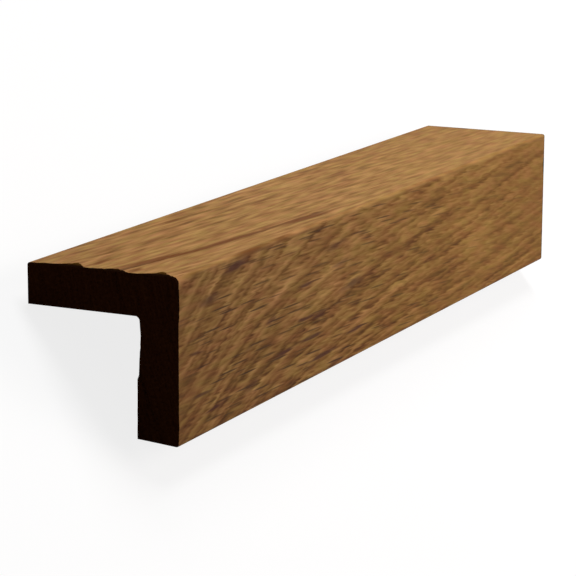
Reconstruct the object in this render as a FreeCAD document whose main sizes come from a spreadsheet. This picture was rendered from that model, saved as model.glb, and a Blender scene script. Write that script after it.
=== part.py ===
"""Corner guard moulding: a short length of solid red oak, run through a moulder to an L section.

The stick covers the outside corner of a wall. Its two legs meet at an outer corner that is only
just rounded, the outer arris of each leg tip is eased, and the inner corner has the small cove
that the cutter leaves. It is one piece of wood, sawn square at both ends.

Units are millimetres. The frame has +Z up and +Y along the stick, and its origin is on the floor
under the middle of the stick. The stick lies as it comes to rest: outer corner up, like a roof,
on the inner edges of its two leg tips. Left and right are as seen along +Y, from the near end.
"""

import FreeCAD, Part
import enum
import math
import os
import Sketcher

PARTS_FOLDER = "parts"
SHEET = "Sizes"

# Driving sizes: alias, value in mm, and what it measures.
SIZES = [
    ("stick_length", 152.4, "length between the saw cuts"),
    ("left_leg_width", 25.4, "virtual outer corner to the tip of the left leg"),
    ("right_leg_width", 25.4, "virtual outer corner to the tip of the right leg"),
    ("left_leg_wall", 6.35, "thickness of the left leg"),
    ("right_leg_wall", 6.7, "thickness of the right leg"),
    ("outer_corner_radius", 0.5, "rounding of the outer corner"),
    ("tip_easing_radius", 0.4, "easing of the outer arris of each leg tip"),
    ("inner_cove_radius", 0.5, "cove that the cutter leaves in the inner corner"),
]


class Point(enum.IntEnum):
    """The numbers by which a constraint names the two ends of an edge."""

    START = 1
    END = 2


class Axis(enum.IntEnum):
    """The numbers by which a constraint names the section's own axes."""

    X = -1
    Y = -2


START, END = Point
ROOT = (Axis.X, START)

# Seen along +Y, the section turns clockwise from its drawn place to its place on the floor. The
# angle set first only gives the turn its axis: the sizes then set the angle itself.
LEAN_AXIS = FreeCAD.Vector(0, -1, 0)
EVEN_LEAN = 45


def make_sheet(doc):
    """The sheet that holds the driving sizes."""
    sheet = doc.addObject("Spreadsheet::Sheet", SHEET)
    for row, (alias, value, note) in enumerate(SIZES, start=1):
        sheet.set(f"A{row}", note)
        sheet.set(f"B{row}", str(value))
        sheet.setAlias(f"B{row}", alias)
    doc.recompute()
    return sheet


def size(alias):
    """An expression that reads one driving size."""
    return f"{SHEET}.{alias}"


def origin_plane(body, role):
    """One of the body's own origin planes."""
    return next(f for f in body.Origin.OriginFeatures if f.Role == role)


def corner(x, y):
    return FreeCAD.Vector(x, y, 0)


def draw_section(body, sheet):
    """The L section, with its virtual outer corner at the section's origin, seen along +Y.

    It is drawn square: the left leg runs to the left along X, and the right leg runs down Y.
    """
    sketch = body.newObject("Sketcher::SketchObject", "LSection")
    sketch.AttachmentSupport = [(origin_plane(body, "XZ_Plane"), "")]
    sketch.MapMode = "FlatFace"

    left_width = sheet.left_leg_width
    right_width = sheet.right_leg_width
    left_wall = sheet.left_leg_wall
    right_wall = sheet.right_leg_wall
    nose = sheet.outer_corner_radius
    easing = sheet.tip_easing_radius
    cove = sheet.inner_cove_radius

    def line(a, b):
        return sketch.addGeometry(Part.LineSegment(corner(*a), corner(*b)), False)

    def arc(centre, radius, start, finish):
        """An arc that runs counterclockwise between two angles in degrees."""
        circle = Part.Circle(corner(*centre), FreeCAD.Vector(0, 0, 1), radius)
        turn = Part.ArcOfCircle(circle, math.radians(start), math.radians(finish))
        return sketch.addGeometry(turn, False)

    left_face = line((-nose, 0), (easing - left_width, 0))
    left_easing = arc((easing - left_width, -easing), easing, 90, 180)
    left_tip = line((-left_width, -easing), (-left_width, -left_wall))
    left_inner = line((-left_width, -left_wall), (-right_wall - cove, -left_wall))
    inner_cove = arc((-right_wall - cove, -left_wall - cove), cove, 0, 90)
    right_inner = line((-right_wall, -left_wall - cove), (-right_wall, -right_width))
    right_tip = line((-right_wall, -right_width), (-easing, -right_width))
    right_easing = arc((-easing, easing - right_width), easing, 270, 360)
    right_face = line((0, easing - right_width), (0, -nose))
    outer_corner = arc((-nose, -nose), nose, 0, 90)

    def constrain(*terms):
        return sketch.addConstraint(Sketcher.Constraint(*terms))

    def dimension(kind, name, terms, alias):
        index = constrain(kind, *terms)
        sketch.renameConstraint(index, name)
        sketch.setExpression(f"Constraints.{name}", size(alias))

    for level in (left_face, left_inner, right_tip):
        constrain("Horizontal", level)
    for upright in (left_tip, right_inner, right_face):
        constrain("Vertical", upright)

    # Each pair of smooth neighbours. Arcs run counterclockwise.
    for first, first_end, second, second_end in (
        (left_face, END, left_easing, START),
        (left_easing, END, left_tip, START),
        (left_inner, END, inner_cove, END),
        (inner_cove, START, right_inner, START),
        (right_tip, END, right_easing, START),
        (right_easing, END, right_face, START),
        (right_face, END, outer_corner, START),
        (outer_corner, END, left_face, START),
    ):
        constrain("Tangent", first, first_end, second, second_end)

    # The inner edges of the two leg tips are sharp.
    constrain("Coincident", left_tip, END, left_inner, START)
    constrain("Coincident", right_inner, END, right_tip, START)

    constrain("PointOnObject", left_face, START, Axis.X)
    constrain("PointOnObject", right_face, START, Axis.Y)

    left_foot = (left_tip, END)
    right_foot = (right_tip, START)
    dimension("DistanceX", "LeftLegWidth", (*left_foot, *ROOT, left_width), "left_leg_width")
    dimension("DistanceY", "LeftLegWall", (*left_foot, *ROOT, left_wall), "left_leg_wall")
    dimension("DistanceY", "RightLegWidth", (*right_foot, *ROOT, right_width), "right_leg_width")
    dimension("DistanceX", "RightLegWall", (*right_foot, *ROOT, right_wall), "right_leg_wall")
    dimension("Radius", "OuterCorner", (outer_corner, nose), "outer_corner_radius")
    dimension("Radius", "LeftTipEasing", (left_easing, easing), "tip_easing_radius")
    dimension("Radius", "RightTipEasing", (right_easing, easing), "tip_easing_radius")
    dimension("Radius", "InnerCove", (inner_cove, cove), "inner_cove_radius")
    return sketch


def run_length(body, sketch):
    """The stick's length, half of it on each side of the section."""
    stick = body.newObject("PartDesign::Pad", "StickLength")
    stick.Profile = sketch
    stick.SideType = "Symmetric"
    stick.setExpression("Length", size("stick_length"))
    return stick


def lay_down(body):
    """Turns the stick about its length until both leg tips touch the floor, and centres it."""
    left_width, right_width = size("left_leg_width"), size("right_leg_width")
    left_wall, right_wall = size("left_leg_wall"), size("right_leg_wall")
    lean = f"atan(({right_width} - {left_wall}) / ({left_width} - {right_wall}))"
    body.Placement.Rotation = FreeCAD.Rotation(LEAN_AXIS, EVEN_LEAN)
    body.setExpression("Placement.Rotation.Angle", lean)
    body.setExpression(
        "Placement.Base.x",
        f"({left_width} * cos({lean}) - {right_width} * sin({lean})) / 2",
    )
    body.setExpression(
        "Placement.Base.z",
        f"{right_wall} * sin({lean}) + {right_width} * cos({lean})",
    )


def make_corner_guard(doc, sheet):
    body = doc.addObject("PartDesign::Body", "CornerGuard")
    body.Label = "corner_guard"
    sketch = draw_section(body, sheet)
    body.Tip = run_length(body, sketch)
    lay_down(body)
    doc.recompute()
    if not sketch.FullyConstrained:
        raise RuntimeError("the L section is not fully constrained")
    return body


def check(doc, bodies):
    """Stops if a feature failed or a piece is not one valid solid."""
    for item in doc.Objects:
        if "Invalid" in item.State or "Error" in item.State:
            raise RuntimeError(f"{item.Name} failed: {item.State}")
    for body in bodies:
        if body.Shape.isNull() or not body.Shape.isValid() or len(body.Shape.Solids) != 1:
            raise RuntimeError(f"{body.Label} is not one valid solid")


def main():
    doc = FreeCAD.newDocument("CornerGuardMoulding")
    sheet = make_sheet(doc)
    bodies = [make_corner_guard(doc, sheet)]
    check(doc, bodies)
    os.makedirs(PARTS_FOLDER, exist_ok=True)
    for body in bodies:
        body.Shape.exportStep(os.path.join(PARTS_FOLDER, f"{body.Label}.step"))
        box = body.Shape.BoundBox
        print(f"{body.Label}: {box.XLength:.2f} x {box.YLength:.2f} x {box.ZLength:.2f} mm")


main()
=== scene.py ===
"""Looks of the corner guard moulding: a short stick of red oak, run to an L section.

The stick is drawn square and in millimetres, as it stands in the moulder: its virtual outer corner
runs along Y from the near end, the left leg lies level towards -X and the right leg hangs down.
One matrix then lays it on the floor where the frame has it, outer corner up, like a roof. The
camera and the lamps are placed in the drawn frame too, and turn with it.
"""

import math

import bmesh
import bpy
from mathutils import Matrix, Vector, noise


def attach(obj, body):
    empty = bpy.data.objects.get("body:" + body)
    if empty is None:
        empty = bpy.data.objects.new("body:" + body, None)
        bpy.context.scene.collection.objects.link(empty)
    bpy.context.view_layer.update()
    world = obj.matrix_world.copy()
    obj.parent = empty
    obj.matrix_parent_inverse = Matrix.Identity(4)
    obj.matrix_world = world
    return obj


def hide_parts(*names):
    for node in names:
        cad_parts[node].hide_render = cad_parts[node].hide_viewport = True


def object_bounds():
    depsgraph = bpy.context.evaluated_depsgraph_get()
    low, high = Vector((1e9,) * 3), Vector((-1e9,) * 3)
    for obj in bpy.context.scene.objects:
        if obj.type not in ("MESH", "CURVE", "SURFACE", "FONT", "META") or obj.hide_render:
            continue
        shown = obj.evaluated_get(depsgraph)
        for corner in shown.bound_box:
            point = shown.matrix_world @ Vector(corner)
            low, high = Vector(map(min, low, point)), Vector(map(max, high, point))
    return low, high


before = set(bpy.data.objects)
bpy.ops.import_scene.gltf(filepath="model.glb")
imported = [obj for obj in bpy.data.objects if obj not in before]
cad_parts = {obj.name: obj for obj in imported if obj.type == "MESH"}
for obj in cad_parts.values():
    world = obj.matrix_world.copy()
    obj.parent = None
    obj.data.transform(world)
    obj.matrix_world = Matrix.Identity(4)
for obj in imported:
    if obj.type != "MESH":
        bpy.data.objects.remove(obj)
CAD_LOW, CAD_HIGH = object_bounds()

NODE = "corner_guard"
MM = 0.001

# The section, in mm.
LEG = 25.4
LEFT_WALL = 6.35
RIGHT_WALL = 6.7
NOSE_RADIUS = 0.5
TIP_RADIUS = 0.4
COVE_RADIUS = 0.5
LENGTH = (CAD_HIGH.y - CAD_LOW.y) / MM

# How the drawn section turns and moves, to rest on the inner edges of its two leg tips.
LEAN = math.atan((LEG - LEFT_WALL) / (LEG - RIGHT_WALL))
CORNER_X = LEG * (math.cos(LEAN) - math.sin(LEAN)) / 2
CORNER_Z = RIGHT_WALL * math.sin(LEAN) + LEG * math.cos(LEAN)
CORNER = Vector((CORNER_X * MM, CAD_LOW.y, CORNER_Z * MM))
TURNED = Matrix.Rotation(-LEAN, 4, "Y")
LAID = Matrix.Translation(CORNER) @ TURNED @ Matrix.Scale(MM, 4)

# The camera in the drawn frame: its place in mm, its turn to the left, dip and roll.
CAMERA_PLACE = (165.47, -302.72, 74.34)
CAMERA_TURN = math.radians(26.014)
CAMERA_DIP = math.radians(12.393)
CAMERA_ROLL = math.radians(0.189)
CAMERA_LENS = 152.9
CAMERA_SENSOR = 36.0

# Softboxes in the drawn frame: the direction from the stick, distance and side in metres, the
# level that they give on a face turned to them, and their colour.
SOFTBOXES = {
    "key_softbox": ((0.05, 0.38, 1.0), 2.2, 0.95, 0.78, (1.0, 1.0, 1.0)),
    "side_softbox": ((1.0, 0.95, 0.25), 0.68, 0.45, 0.648, (1.0, 0.905, 0.88)),
}
AMBIENT = 0.10
FLOOR_SIZE = 4.0
FLOOR_GLOW = 0.82
FLOOR_SHARE = 0.20

# The mesh: the length of the outline's edges, outside and inside, and of the steps along it.
OUTER_EDGE = 0.25
INNER_EDGE = 0.6
STEP = 1.25
FINE_STEPS = (0.3, 0.7, 1.2, 1.9, 2.8, 3.9, 5.2, 6.6)
SHARP = math.radians(34)

# Where the saw tore the outer arris: how far round it from the tip of the left leg, and how far
# back the tear reaches there, in mm.
NEAR_TEAR = (
    (0, 0.1), (1.8, 0.15), (2.4, 0.6), (4.5, 0.8), (5.3, 1.5), (6.0, 1.8), (6.8, 2.8), (7.6, 2.7),
    (8.4, 1.5), (9.5, 0.5), (10.2, 0.45), (12.6, 1.0), (13.8, 1.8), (14.6, 1.7), (16.1, 0.9),
    (17.0, 0.1), (18.4, 0.1), (19.7, 0.8), (20.7, 1.4), (21.2, 2.8), (22.0, 2.7), (22.9, 1.6), (24.0, 0.8),
    (25.4, 0.7), (26.6, 0.3), (27.4, 0.4), (29.6, 0.5), (31.6, 0.4), (32.2, 0.2), (47.0, 0.15), (47.9, 0.3),
    (48.6, 0.1), (50.8, 0.05),
)
FAR_TEAR = (
    (0, 0.1), (7.0, 0.15), (8.1, 0.5), (9.0, 0.1), (29.5, 0.1), (31.2, 0.6), (34.0, 0.1),
    (44.0, 0.1), (45.1, 0.3), (46.0, 0.1), (50.8, 0.1),
)
TEAR_SLOPE = 0.75
TEAR_SETTLE = 8.0
WEAR = 0.05

# How much of the tear's reach and depth each row of the scar takes, from the cut inwards.
TEAR_SHARES = {"cut": (0.0, 1.0), "scar": (0.36, 0.66), "lip": (0.72, 0.36), "rim": (1.0, 0.0)}

# How much more the outer corner is rounded at the near cut, and how far along that reaches, in mm.
DUBBED_RADIUS = 0.8
DUBBED_LENGTH = 11.0

# The sliver that is missing inside the right leg at the near cut: how far down, and how deep. Below
# it the leg stands a little proud, and the inner corner of its tip is worn away, in mm.
SLIVER = (
    (6.3, 0.15), (7.0, 0.33), (7.6, 0.38), (9.4, 0.48), (12.1, 0.33), (13.6, 0.22), (15.2, 0.14),
    (15.8, -0.1), (25.4, -0.2),
)
SLIVER_LENGTH = 9.0
TIP_WEAR = 0.45

# The rings: the heart of the tree, and how the rings sweep along the stick, in mm.
HEART_X = 109.0
HEART_Z = 23.2
RING_WIDTH = 1.35
DARK_RING = 121.4
SWEEP_SLOPE = 0.03
SWEEP_RISE = 4.96
SWEEP_RATE = 0.03
GRAIN_ACROSS = 0.03
GRAIN_DOWN = 0.0004

# How dark each ring's early wood is, from some rings inside the dark ring outwards.
FIRST_RING = -6
RING_STRENGTHS = (
    0.3, 0.5, 0.3, 0.0, 0.3, 0.15, 1.0, 0.0, 0.05, 0.3, 0.0, 0.3, 0.2, 0.55, 0.2, 0.15, 0.45, 0.15, 0.4,
    0.2, 0.4, 0.15,
)

# Dark flecks where a knot or a cluster of pores shows: the place, the half length and half
# thickness in mm, the rise along the stick in degrees, and how dark it is. Those on the side face
# come first, then those on the top face, whose rise is towards the outer corner.
SIDE_FLECKS = (
    (9.8, -5.1, 4.6, 0.95, 6, 0.8), (18.4, -1.6, 5.6, 0.95, 6, 0.75), (18.7, -1.6, 3.0, 0.8, 6, 0.8),
    (24.0, -21.4, 4.2, 0.8, 14, 0.45), (30.2, -12.6, 2.2, 0.8, 20, 0.6), (23.3, -15.3, 1.5, 0.6, 15, 0.5),
    (48.0, -15.3, 3.4, 0.8, 8, 0.7), (54.5, -4.9, 5.0, 0.7, 6, 0.6), (56.0, -8.2, 3.6, 0.7, 4, 0.5),
    (61.0, -12.5, 5.6, 0.9, 5, 0.8), (54.0, -24.8, 3.8, 0.8, 10, 0.5), (43.2, -14.8, 4.8, 0.42, 0, 1.2),
    (45.0, -18.4, 5.4, 0.42, 0, 1.2), (49.5, -22.3, 7.8, 0.4, 1, 1.2), (62.5, -20.6, 5.2, 0.4, 2, 1.0),
    (11.2, -22.1, 3.2, 0.4, 3, 1.0), (35.5, -18.7, 4.2, 0.42, 4, 1.1), (43.0, -9.3, 4.2, 0.4, 0, 1.0),
    (8.0, -19.1, 4.7, 0.38, 0, 0.9), (27.5, -0.5, 6.0, 0.4, 0, 0.7), (44.0, -0.5, 6.0, 0.4, 0, 0.6),
    (5.5, -12.4, 3.0, 0.38, 0, 0.9),
)
TOP_FLECKS = (
    (4.9, -15.6, 3.8, 0.9, -4, 1.0), (2.4, -8.2, 2.4, 0.9, 4, 1.0), (38.4, -21.7, 4.4, 0.9, 2, 1.0),
    (11.5, -8.8, 12.5, 1.4, 13, 1.2), (28.5, -6.1, 13.0, 1.4, 6, 1.0), (49.5, -3.75, 12.0, 1.35, 5, 1.05),
    (23.5, 0.0, 6.5, 1.0, 0, 0.9), (34.5, 0.0, 4.0, 0.9, 0, 0.8), (26.0, -16.6, 9.0, 0.9, 6, 0.6),
    (38.0, -15.3, 7.0, 0.7, 3, 0.4), (62.0, -17.1, 10.0, 0.9, 2, 0.5), (26.4, -10.4, 2.2, 0.8, 0, 0.5),
    (11.0, -19.2, 4.5, 1.8, -8, 0.4), (90.0, -16.8, 5.0, 0.9, 3, 0.35), (84.0, -9.8, 9.0, 0.8, 0, 0.35),
    (146.0, -13.5, 5.0, 1.8, 12, 0.2), (5.0, -0.9, 3.0, 0.9, 8, 0.5), (40.0, -6.2, 9.0, 0.6, 5, 0.45),
)


class Value:
    """A socket that gives a number. Arithmetic on it adds Math nodes."""

    def __init__(self, finish, socket):
        self.finish = finish
        self.socket = socket

    def math(self, operation, *values, clamp=False):
        settings = {"operation": operation, "use_clamp": clamp}
        return self.finish.node("ShaderNodeMath", settings, dict(enumerate(values)))

    def __add__(self, other):
        return self.math("ADD", self, other)

    def __radd__(self, other):
        return self.math("ADD", other, self)

    def __sub__(self, other):
        return self.math("SUBTRACT", self, other)

    def __rsub__(self, other):
        return self.math("SUBTRACT", other, self)

    def __mul__(self, other):
        return self.math("MULTIPLY", self, other)

    def __rmul__(self, other):
        return self.math("MULTIPLY", other, self)

    def __truediv__(self, other):
        return self.math("DIVIDE", self, other)

    def __pow__(self, other):
        return self.math("POWER", self, other)

    def clamped(self):
        return self.math("ADD", self, 0, clamp=True)

    def fade(self, low, high):
        """A smooth step that is 0 at low and 1 at high, where low may be the larger."""
        settings = {"interpolation_type": "SMOOTHSTEP"}
        values = {"Value": self, "From Min": low, "From Max": high}
        return self.finish.node("ShaderNodeMapRange", settings, values)


class Finish:
    """A material, built node by node."""

    def __init__(self, owner):
        owner.use_nodes = True
        self.tree = owner.node_tree
        self.tree.nodes.clear()

    def node(self, kind, settings=None, values=None, output=0):
        """Adds one node: first its settings, then the values or links of its sockets."""
        made = self.tree.nodes.new(kind)
        for name, setting in (settings or {}).items():
            setattr(made, name, setting)
        for name, value in (values or {}).items():
            socket = next(s for i, s in enumerate(made.inputs) if name in (i, s.identifier))
            if isinstance(value, Value):
                self.tree.links.new(value.socket, socket)
            else:
                socket.default_value = value
        if made.outputs:
            return Value(self, made.outputs[output])

    def vector(self, x, y, z):
        return self.node("ShaderNodeCombineXYZ", None, {"X": x, "Y": y, "Z": z})

    def split(self, vector):
        return [self.node("ShaderNodeSeparateXYZ", None, {0: vector}, axis) for axis in range(3)]

    def mix(self, share, first, second, blend="MIX"):
        values = {"Factor_Float": share, "A_Color": first, "B_Color": second}
        return self.node("ShaderNodeMix", {"data_type": "RGBA", "blend_type": blend}, values, 2)

    def ramp(self, share, colours):
        """Evenly spaced colours, from the first at 0 to the last at 1."""
        made = self.node("ShaderNodeValToRGB", None, {"Fac": share})
        stops = made.socket.node.color_ramp.elements
        for _ in colours[2:]:
            stops.new(0.5)
        for index, (stop, shade) in enumerate(zip(stops, colours)):
            stop.position = index / (len(colours) - 1)
            stop.color = shade
        return made

    def noise(self, place, detail=2.0):
        """Noise about 0, mostly between -0.3 and 0.3, with lumps one unit across."""
        values = {"Vector": place, "Scale": 1.0, "Detail": detail}
        return self.node("ShaderNodeTexNoise", None, values) - 0.5

    def specks(self, place):
        """The distance to the nearest of scattered points, one to each cube of one unit."""
        return self.node("ShaderNodeTexVoronoi", None, {"Vector": place, "Scale": 1.0})

    def surface(self, shader):
        self.node("ShaderNodeOutputMaterial", None, {"Surface": shader})


class Grain:
    """The oak's figure, which runs through the whole of the wood."""

    def __init__(self, finish):
        self.finish = finish
        place = finish.node("ShaderNodeTexCoord", output="Object")
        drawn = {"Vector": place, "Location": CORNER, "Rotation": (0, -LEAN, 0), "Scale": (MM, MM, MM)}
        drawn = finish.node("ShaderNodeMapping", {"vector_type": "TEXTURE"}, drawn)
        self.x, self.y, self.z = x, y, z = finish.split(drawn)
        self.quartered = z.fade(-1.0, -0.3)
        self.inward = y.math("PINGPONG", y, LENGTH / 2)

        # Fibres run nearly along the stick.
        self.across = x - y * GRAIN_ACROSS
        self.down = z + y * y * GRAIN_DOWN
        self.drift = finish.noise(finish.vector(x / 9, y / 40, z / 9), 1)
        self.clouds = self.strands(0.95, 6, 0)
        self.streaks = self.strands(0.62, 5, 1)
        self.fibres = self.strands(0.36, 3.2, 0)

        # Rings, feathered into steps where the fibres cross them.
        radius = ((x - HEART_X) ** 2 + (z - HEART_Z) ** 2) ** 0.5
        sweep = y * SWEEP_RATE
        sweep = y * SWEEP_SLOPE + sweep.math("TANH", sweep) * SWEEP_RISE
        growth = radius + sweep - DARK_RING + self.drift * 0.4
        feather = self.streaks * 0.5 + self.fibres * 0.6
        self.near = y.fade(45, 10) * (1 - self.quartered)
        straight = y.fade(60, 100) * (1 - self.quartered) * 0.4
        ring = (growth + feather * (1 - self.near * 0.3 - straight)) / RING_WIDTH + 0.15
        phase = ring.math("FRACT", ring)
        index = ring.math("FLOOR", ring)
        strengths = [(level, level, level, 1.0) for level in RING_STRENGTHS]
        strength = finish.ramp((index - FIRST_RING) / (len(RING_STRENGTHS) - 1), strengths)
        strength = strength * (1 - y.fade(60, 90 - self.quartered * 22) * (self.quartered * 0.1 + 0.7))
        strength = strength ** (1 + self.quartered)
        wide = self.quartered * 0.15
        self.early = phase.fade(-0.08, 0.16) * phase.fade(wide + 0.8, wide + 0.15) * strength
        self.late = phase.fade(0.55, 0.8) * phase.fade(1.0, 0.9)
        layer = finish.vector((growth + feather * 0.4) / 0.46, y / 16, (z - x) / 9)
        self.layers = finish.noise(layer, 0)
        band = finish.vector((growth + feather * 0.5) / 0.25, (y + 20) ** 0.5 * 1.15, (z - x) / 6)
        self.bands = finish.noise(band, 0)

        # Pores lie along the fibres, most of them in the early wood.
        pores = finish.specks(finish.vector(self.across / 0.34, y / 4.5, self.down / 0.34))
        share = (self.early * 0.6 + self.bands * -1.2 + 0.3).clamped()
        self.pores = pores.fade(0.36, 0.2) * share * (1 - y.fade(50, 140) * 0.6)

        # Rays are thin sheets that stand on edge, out from the heart.
        turned = z * 0.978 - x * 0.208 + y * y * GRAIN_DOWN
        rays = finish.specks(finish.vector(radius / 8, y / 13, turned / 0.55))
        self.rays = rays.fade(0.33, 0.16) * (1 - self.quartered * 0.9) * (1 - y.fade(50, 140) * 0.75)
        self.rays = self.rays * (0.7 + self.drift) * (1 - y.fade(12, 2) * 0.55)
        self.side_flecks, self.top_flecks = self.dark_flecks()

    def strands(self, thickness, length, detail):
        """Noise in strands of wood of one thickness and length, in mm."""
        place = (self.across / thickness, self.y / length, self.down / thickness)
        return self.finish.noise(self.finish.vector(*place), detail)

    def dark_flecks(self):
        """How dark the flecks are that the two outer faces show, each in its place."""
        finish = self.finish
        y = self.y + self.fibres * 3
        side = finish.vector(0, y, self.z + self.streaks * 0.5)
        top = finish.vector(self.x + self.streaks * 0.6, y, 0)
        total = 0
        for along, off, half, thick, rise, dark in SIDE_FLECKS:
            total = self.fleck(side, (0, along, off), (math.radians(rise), 0, 0), half, thick) * dark + total
        side_total = (total * (1 - self.quartered)).clamped()
        total = 0
        for along, off, half, thick, rise, dark in TOP_FLECKS:
            total = self.fleck(top, (off, along, 0), (0, 0, math.radians(-rise)), half, thick) * dark + total
        return side_total, (total * self.quartered).clamped()

    def fleck(self, place, centre, turn, half, thick):
        """One soft lens, 1 in its middle."""
        finish = self.finish
        values = {"Vector": place, "Location": centre, "Rotation": turn, "Scale": (thick, half, thick)}
        lens = finish.node("ShaderNodeMapping", {"vector_type": "TEXTURE"}, values)
        lens = finish.node("ShaderNodeVectorMath", {"operation": "LENGTH"}, {0: lens}, "Value")
        return lens.fade(1.1, 0.2)


GOLDEN_OAK = (
    (0.097, 0.043, 0.0105, 1), (0.208, 0.101, 0.0245, 1), (0.326, 0.180, 0.047, 1),
    (0.441, 0.259, 0.076, 1), (0.560, 0.342, 0.110, 1),
)
RUSSET_OAK = (
    (0.103, 0.036, 0.0105, 1), (0.224, 0.089, 0.0262, 1), (0.348, 0.158, 0.052, 1),
    (0.470, 0.230, 0.083, 1), (0.592, 0.303, 0.119, 1),
)
WARM_OAK = (1.0, 0.955, 0.58, 1)
SIDE_FLECK = (0.086, 0.030, 0.018, 1)
TOP_FLECK = (0.150, 0.045, 0.006, 1)
RAY = (0.068, 0.036, 0.015, 1)
PORE = (0.105, 0.044, 0.018, 1)


def oak_face():
    """Oak as the moulder's knives and a light sanding leave it, along the grain."""
    material = bpy.data.materials.new("oak_face")
    finish = Finish(material)
    grain = Grain(finish)
    figure = grain.layers * (grain.near * 0.26 + 0.34)
    figure = figure + grain.bands * (0.6 + grain.y.fade(0, 60) * 0.4 - grain.y.fade(70, 110) * 0.25)
    figure = figure + grain.streaks * (0.7 + grain.y.fade(10, 45) * 0.22 - grain.y.fade(70, 120) * 0.3)
    figure = figure + grain.fibres * 0.35 * (1 - grain.y.fade(20, 130) * 0.7)
    broad = (0.55 + grain.y.fade(20, 60) * 0.2) * grain.quartered + 0.05
    figure = figure * (1 - grain.quartered * 0.75) + grain.clouds * broad
    rings = 0.32 - grain.y.fade(15, 45) * 0.08 + grain.y.fade(70, 100) * 0.16
    figure = figure - grain.early * (rings + grain.quartered * 0.1)
    figure = figure + grain.late * (0.1 - grain.quartered * 0.03)
    figure = figure * (1 - grain.y.fade(70, 140) * grain.quartered * 0.35)
    figure = figure * (1 - grain.y.fade(16, 0) * (1 - grain.quartered) * 0.3)
    figure = figure * (1 - grain.y.fade(115, 150) * (1 - grain.quartered) * 0.3)
    # Painted shade: the tone darkens towards each leg's tip, most on the side leg near the near cut, in place
    # of the lamps' fall-off there. ends darkens the side face near both cuts.
    painted_falloff = grain.x * 0.004 + grain.z * (0.008 - grain.y.fade(0, 50) * 0.0035)
    ends = grain.y.fade(16, 0) * 0.05 + grain.y.fade(90, 150) * 0.04
    painted_falloff = painted_falloff - ends * (1 - grain.quartered)
    tone = (figure + painted_falloff + grain.drift * 0.03 + 0.57).clamped()
    patches = finish.noise(finish.vector(grain.across / 1.2, grain.y / 6, grain.down / 1.2), 1)
    russet = (patches * 2.5 + 0.5).clamped()
    base = finish.mix(russet, finish.ramp(tone, GOLDEN_OAK), finish.ramp(tone, RUSSET_OAK))
    warmth = grain.y.fade(0, 120) * (0.6 - grain.quartered * 0.3)
    base = finish.mix(warmth, base, WARM_OAK, "MULTIPLY")
    base = finish.mix(grain.rays, base, RAY)
    base = finish.mix(grain.pores * 0.55, base, PORE)
    base = finish.mix(grain.side_flecks * 0.88, base, SIDE_FLECK)
    base = finish.mix(grain.top_flecks * 0.9, base, TOP_FLECK)
    height = grain.fibres * 0.3 - grain.pores - grain.rays * 0.4
    relief = finish.node(
        "ShaderNodeBump", None, {"Strength": 0.4, "Distance": 0.0001, "Height": height}
    )
    shader = {
        "Base Color": base,
        "Roughness": 0.62 + grain.pores * 0.2 - grain.bands * 0.1,
        "Normal": relief,
        "Specular IOR Level": 0.04,
    }
    finish.surface(finish.node("ShaderNodeBsdfPrincipled", None, shader))
    return material


# End grain colours, darker than oak's end grain is: painted shade is mixed into them and into END_PORE.
END_GRAIN_AND_SHADE = ((0.026, 0.0072, 0.0022, 1), (0.050, 0.0140, 0.0040, 1), (0.075, 0.0240, 0.0064, 1))
END_PORE = (0.008, 0.0035, 0.002, 1)
# Painted shade: the torn faces are coloured as dark as a cut in shade, though the lamps light them.
TORN_SHADE = (0.010, 0.0036, 0.0016, 1)
TORN_GOLD = (0.100, 0.045, 0.008, 1)


def rough_cut(finish, grain, base):
    """The dull, fuzzy surface that a saw leaves across the grain."""
    saw = grain.x * 0.4 + grain.z * 2.2 + grain.drift * 4
    saw = saw.math("SINE", saw)
    height = grain.fibres * 0.5 - grain.pores + saw * 0.25
    relief = finish.node(
        "ShaderNodeBump", None, {"Strength": 0.5, "Distance": 0.00015, "Height": height}
    )
    shader = {
        "Base Color": base,
        "Roughness": 0.9 + grain.pores * 0.05,
        "Normal": relief,
        "Specular IOR Level": 0.0,
    }
    finish.surface(finish.node("ShaderNodeBsdfPrincipled", None, shader))


def oak_end_and_shade():
    """End grain, a very dark brown: the wood's own darker end grain, with painted shade on top of it."""
    material = bpy.data.materials.new("oak_end_and_shade")
    finish = Finish(material)
    grain = Grain(finish)
    tone = (grain.bands * 0.6 + grain.streaks * 0.8 + grain.fibres * 0.8 + 0.5 - grain.early * 0.25).clamped()
    base = finish.mix(grain.pores * 0.8, finish.ramp(tone, END_GRAIN_AND_SHADE), END_PORE)
    rough_cut(finish, grain, base)
    return material


def oak_torn_in_shade():
    """Torn fibres at the arris of a cut, in painted shade: nearly black, with a dark golden brown rim where
    they are deep.
    """
    material = bpy.data.materials.new("oak_torn_in_shade")
    finish = Finish(material)
    grain = Grain(finish)
    golden = (grain.inward + grain.streaks * 2).fade(0.8, 3.2)
    rough_cut(finish, grain, finish.mix(golden, TORN_SHADE, TORN_GOLD))
    return material


def between(points, at):
    """Reads a profile, given as points of place and height, along straight lines."""
    for (start, low), (end, high) in zip(points, points[1:]):
        if start <= at <= end:
            return low + (high - low) * (at - start) / (end - start)
    return 0.0


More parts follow.
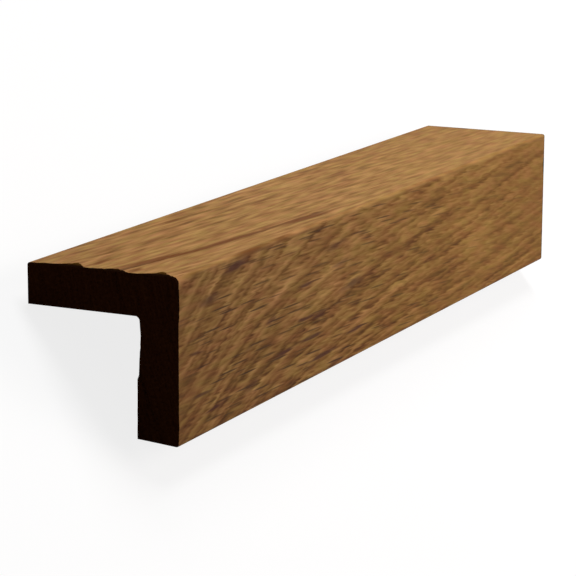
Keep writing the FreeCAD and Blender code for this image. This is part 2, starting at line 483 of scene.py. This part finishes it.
def draw_section(bm):
    """The section's outline at the near cut: six corners, four of them rounded."""
    corners = (
        (-LEG, 0), (0, 0), (0, -LEG), (-RIGHT_WALL, -LEG), (-RIGHT_WALL, -LEFT_WALL), (-LEG, -LEFT_WALL),
    )
    verts = [bm.verts.new((x, 0, z)) for x, z in corners]
    bm.faces.new(verts)
    left_tip, nose, right_tip, _, cove, _ = verts
    rounds = (
        (left_tip, TIP_RADIUS, 3), (nose, NOSE_RADIUS, 5), (right_tip, TIP_RADIUS, 3), (cove, COVE_RADIUS, 4),
    )
    for vert, radius, segments in rounds:
        bmesh.ops.bevel(
            bm, geom=[vert], offset=radius, segments=segments, profile=0.5, affect="VERTICES", material=-1
        )
    for edge in bm.edges[:]:
        middle = (edge.verts[0].co + edge.verts[1].co) / 2
        outer = max(middle.x, middle.z) > -WEAR
        cuts = int(edge.calc_length() / (OUTER_EDGE if outer else INNER_EDGE))
        if cuts:
            bmesh.ops.subdivide_edges(bm, edges=[edge], cuts=cuts)
    bmesh.ops.delete(bm, geom=bm.faces[:], context="FACES_ONLY")
    return bm.edges[:]


def stations():
    """Each row of the outline: its place along the stick, and its part in the tear at a cut."""
    start, end = FINE_STEPS[-1], LENGTH - FINE_STEPS[-1]
    count = round((end - start) / STEP)
    faces = list(FINE_STEPS)
    faces += [start + (end - start) * step / count for step in range(1, count + 1)]
    faces += [LENGTH - step for step in reversed(FINE_STEPS[:-1])]
    rows = [(0, name) for name in TEAR_SHARES]
    rows += [(place, "face") for place in faces]
    return rows + [(LENGTH, name) for name in reversed(TEAR_SHARES)]


def dubbed(vert, place):
    """Rounds the outer corner more near the near cut, where it has been knocked."""
    if place < DUBBED_LENGTH:
        radius = NOSE_RADIUS + DUBBED_RADIUS * (1 - place / DUBBED_LENGTH) ** 2
        centre = Vector((-radius, vert.co.y, -radius))
        arm = vert.co - centre
        if arm.x > 0 and arm.z > 0:
            vert.co = centre + arm.normalized() * radius


def worn(vert, outward, row, distance, inwards, profile):
    """Moves one vertex to where the saw and handling left it."""
    x, _, z = vert.co
    ragged = noise.noise(Vector((x * 1.6, inwards * 7, z * 1.6)))
    fine = noise.noise(Vector((x * 4.5, inwards * 3, z * 4.5)))
    reach = WEAR
    if outward.x > 0.3 or outward.z > 0.3:
        place = LEG + x - z
        torn = (between(profile, place - 0.3) + between(profile, place) + between(profile, place + 0.3)) / 3
        reach += torn * (1 + ragged * 0.2 + fine * 0.12)
    depth = WEAR * 0.6 + TEAR_SLOPE * (reach - WEAR)
    if row == "face":
        back_share, down_share = max(0, 1 - distance / TEAR_SETTLE), 0
    else:
        back_share, down_share = TEAR_SHARES[row]
    back, down = reach * back_share, depth * down_share
    if inwards > 0 and distance < SLIVER_LENGTH:
        fading = 1 - distance / SLIVER_LENGTH
        if -COVE_RADIUS - 0.01 < x + RIGHT_WALL < 0.01 and z < 0.01 - LEFT_WALL:
            vert.co.x += between(SLIVER, -z) * fading * (1 + fine * 0.3)
        if abs(z + LEG) < 0.01:
            vert.co.z -= TIP_WEAR * fading * x / RIGHT_WALL
    vert.co.y += inwards * back
    vert.co -= outward * down


def run_stick(bm):
    """Runs the outline along the stick, row by row, tears its ends and closes them."""
    edges = draw_section(bm)
    rows = stations()
    placed = [(*rows[0], bm.verts[:])]
    for (last, _), (place, row) in zip(rows, rows[1:]):
        made = bmesh.ops.extrude_edge_only(bm, edges=edges)["geom"]
        verts = [part for part in made if isinstance(part, bmesh.types.BMVert)]
        edges = [part for part in made if isinstance(part, bmesh.types.BMEdge) and part.is_boundary]
        bmesh.ops.translate(bm, verts=verts, vec=(0, place - last, 0))
        placed.append((place, row, verts))
        for part in made:
            if isinstance(part, bmesh.types.BMFace):
                part.smooth = True
                part.material_index = 2 if place == last else 0

    for place, _, verts in placed:
        for vert in verts:
            dubbed(vert, place)
    bmesh.ops.recalc_face_normals(bm, faces=bm.faces)
    outward = {vert: Vector((vert.normal.x, 0, vert.normal.z)).normalized() for vert in bm.verts}
    for place, row, verts in placed:
        near = place < LENGTH / 2
        end = (place, 1, NEAR_TEAR) if near else (LENGTH - place, -1, FAR_TEAR)
        for vert in verts:
            worn(vert, outward[vert], row, *end)

    rims = [edge for edge in bm.edges if edge.is_boundary]
    for cut in bmesh.ops.holes_fill(bm, edges=rims, sides=0)["faces"]:
        cut.material_index = 1
    bmesh.ops.recalc_face_normals(bm, faces=bm.faces)
    for edge in bm.edges:
        edge.smooth = edge.calc_face_angle(0) < SHARP


def corner_guard():
    """The stick of oak: two finishes, for what the knives left and what the saw left."""
    bm = bmesh.new()
    run_stick(bm)
    bmesh.ops.transform(bm, matrix=LAID, verts=bm.verts)
    mesh = bpy.data.meshes.new("oak_corner_guard")
    bm.to_mesh(mesh)
    bm.free()
    mesh.materials.append(oak_face())
    mesh.materials.append(oak_end_and_shade())
    mesh.materials.append(oak_torn_in_shade())
    piece = bpy.data.objects.new("oak_corner_guard", mesh)
    bpy.context.collection.objects.link(piece)
    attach(piece, "root")
    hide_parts(NODE)
    print("triangles", sum(len(polygon.vertices) - 2 for polygon in mesh.polygons))


def to_the_eye(finish):
    """1 for what the camera sees, straight or in gloss and glass, and 0 for the light on things."""
    paths = ("Is Camera Ray", "Is Glossy Ray", "Is Transmission Ray")
    seen, gloss, glass = [finish.node("ShaderNodeLightPath", output=path) for path in paths]
    return (seen + gloss + glass).clamped()


def floor():
    """A plain pale floor, white to the eye, that keeps the stick's soft shadow."""
    bm = bmesh.new()
    bmesh.ops.create_grid(bm, x_segments=1, y_segments=1, size=FLOOR_SIZE / 2)
    mesh = bpy.data.meshes.new("floor")
    bm.to_mesh(mesh)
    bm.free()
    material = bpy.data.materials.new("pale_floor")
    finish = Finish(material)
    glow = finish.node("ShaderNodeEmission", None, {"Strength": to_the_eye(finish) * FLOOR_GLOW})
    matt = finish.node("ShaderNodeBsdfDiffuse", None, {"Color": (FLOOR_SHARE, FLOOR_SHARE, FLOOR_SHARE, 1)})
    finish.surface(finish.node("ShaderNodeAddShader", None, {0: glow, 1: matt}))
    mesh.materials.append(material)
    plane = bpy.data.objects.new("floor", mesh)
    bpy.context.collection.objects.link(plane)


def studio():
    """Plain ambient light, and white where the camera sees past the floor."""
    sky = bpy.data.worlds.new("studio")
    bpy.context.scene.world = sky
    finish = Finish(sky)
    strength = to_the_eye(finish) * (1 - AMBIENT) + AMBIENT
    shader = finish.node("ShaderNodeBackground", None, {"Color": (1, 1, 1, 1), "Strength": strength})
    finish.node("ShaderNodeOutputWorld", None, {"Surface": shader})


def softboxes():
    """Large square lamps that face the middle of the stick."""
    middle = LAID @ Vector((-LEG / 3, LENGTH / 2, -LEG / 3))
    for name, (direction, distance, side, level, tint) in SOFTBOXES.items():
        away = (TURNED @ Vector(direction)).normalized()
        lamp = bpy.data.lights.new(name, "AREA")
        lamp.size = side
        lamp.energy = level * (math.pi * distance) ** 2
        lamp.color = tint
        holder = bpy.data.objects.new(name, lamp)
        holder.location = middle + away * distance
        holder.rotation_euler = away.to_track_quat("Z", "Y").to_euler()
        bpy.context.collection.objects.link(holder)


def camera():
    """The photograph's camera, placed in the drawn frame and turned with the stick."""
    lens = bpy.data.cameras.new("camera")
    lens.sensor_width = CAMERA_SENSOR
    lens.lens = CAMERA_LENS
    lens.clip_start = 0.01
    holder = bpy.data.objects.new("camera", lens)
    bpy.context.collection.objects.link(holder)
    aim = (
        Matrix.Rotation(CAMERA_TURN, 4, "Z")
        @ Matrix.Rotation(math.pi / 2 - CAMERA_DIP, 4, "X")
        @ Matrix.Rotation(CAMERA_ROLL, 4, "Z")
    )
    holder.matrix_world = Matrix.Translation(LAID @ Vector(CAMERA_PLACE)) @ TURNED @ aim
    bpy.context.scene.camera = holder


camera()
floor()
studio()
softboxes()
corner_guard()

bpy.context.scene.view_settings.view_transform = "Standard"
